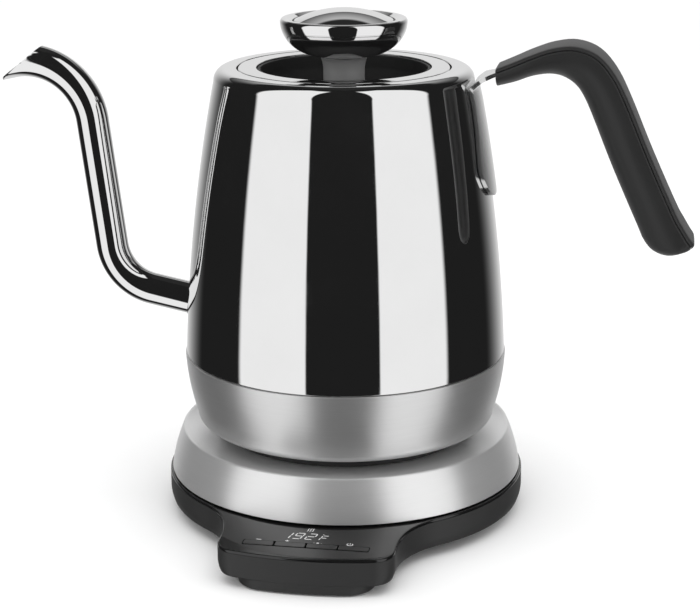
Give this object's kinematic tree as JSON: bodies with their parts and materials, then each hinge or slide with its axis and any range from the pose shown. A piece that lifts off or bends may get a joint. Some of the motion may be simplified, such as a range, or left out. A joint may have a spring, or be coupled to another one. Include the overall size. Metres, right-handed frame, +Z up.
{
  "type": "gooseneck kettle",
  "caption": "Electric gooseneck kettle with polished body, thin curved spout, open black handle and lid knob, on a round power base with a control nose.",
  "frame": {"origin": "on the kettle's axis at the underside of the base, at ground level", "axes": "+Z up along the kettle's axis; the spout points along -X, the handle along +X and the control nose along -Y"},
  "size_m": [0.2909, 0.1825, 0.2129],
  "materials": {
    "polished_steel": "mirror polished",
    "brushed_steel": "brushed round the axis",
    "plain_steel": "plain",
    "brass_contact": "plain",
    "black_plastic": "satin",
    "gloss_panel": "gloss",
    "soft_grip": "satin soft touch",
    "grey_stem": "satin",
    "rubber": "matte",
    "silicone": "matte",
    "circuit_board": "satin"
  },
  "bodies": {
    "base": {"base_cover": "brushed_steel", "base_housing": "black_plastic", "control_panel": "gloss_panel", "base_bottom_plate": "black_plastic", "foot_front_left": "rubber", "foot_front_right": "rubber", "foot_rear_left": "rubber", "foot_rear_right": "rubber", "cover_support": "black_plastic", "base_connector": "black_plastic", "base_contact": "brass_contact", "power_board": "circuit_board", "control_board": "circuit_board", "display_module": "gloss_panel", "dome_switch_1": "plain_steel", "dome_switch_2": "plain_steel", "dome_switch_3": "plain_steel", "dome_switch_4": "plain_steel", "cord_gland": "rubber", "base_screw_1": "plain_steel", "base_screw_2": "plain_steel", "base_screw_3": "plain_steel"},
    "minus": {"minus_key": "gloss_panel"},
    "plus": {"plus_key": "gloss_panel"},
    "hold": {"hold_key": "gloss_panel"},
    "power": {"power_key": "gloss_panel"},
    "kettle_socket": {"socket_body": "black_plastic", "socket_contact": "brass_contact"},
    "kettle": {"vessel": "polished_steel", "lower_band": "brushed_steel", "heater_plate": "plain_steel", "heating_element": "plain_steel", "element_terminal_1": "brass_contact", "element_terminal_2": "brass_contact", "thermal_cutout": "plain_steel", "temperature_probe": "plain_steel", "probe_seal": "silicone", "vessel_seal": "silicone", "bottom_cover": "black_plastic", "bottom_screw_1": "plain_steel", "bottom_screw_2": "plain_steel", "bottom_screw_3": "plain_steel", "spout": "polished_steel", "handle_strap": "polished_steel", "counterweight": "plain_steel", "grip_shell": "soft_grip", "grip_cover": "soft_grip", "grip_screw_1": "plain_steel", "grip_screw_2": "plain_steel"},
    "lid": {"lid_ring": "polished_steel", "lid_bowl": "black_plastic", "lid_plug": "black_plastic", "lid_gasket": "silicone", "stem_seal": "silicone"},
    "flow_knob": {"knob_stem": "grey_stem", "knob_bowl": "polished_steel", "knob_cap": "polished_steel", "knob_screw_1": "plain_steel", "flow_disc": "black_plastic"}
  },
  "joints": [
    {"name": "kettle_lift", "type": "slide", "parent": "base", "child": "kettle_socket", "axis": [0, 0, 1], "range_m": [0, 0.06]},
    {"name": "kettle_swivel", "type": "hinge", "parent": "kettle_socket", "child": "kettle", "pos_m": [0, 0, 0.0343], "axis": [0, 0, 1], "continuous": true},
    {"name": "lid_lift", "type": "slide", "parent": "kettle", "child": "lid", "axis": [0, 0, 1], "range_m": [0, 0.05]},
    {"name": "flow_turn", "type": "hinge", "parent": "lid", "child": "flow_knob", "pos_m": [0, 0, 0.1893], "axis": [0, 0, 1], "range_deg": [0, 120]},
    {"name": "minus_press", "type": "slide", "parent": "base", "child": "minus", "axis": [0, 0, -1], "range_m": [0, 0.0007], "stiffness_N_per_m": 400},
    {"name": "plus_press", "type": "slide", "parent": "base", "child": "plus", "axis": [0, 0, -1], "range_m": [0, 0.0007], "stiffness_N_per_m": 400},
    {"name": "hold_press", "type": "slide", "parent": "base", "child": "hold", "axis": [0, 0, -1], "range_m": [0, 0.0007], "stiffness_N_per_m": 400},
    {"name": "power_press", "type": "slide", "parent": "base", "child": "power", "axis": [0, 0, -1], "range_m": [0, 0.0007], "stiffness_N_per_m": 400}
  ]
}
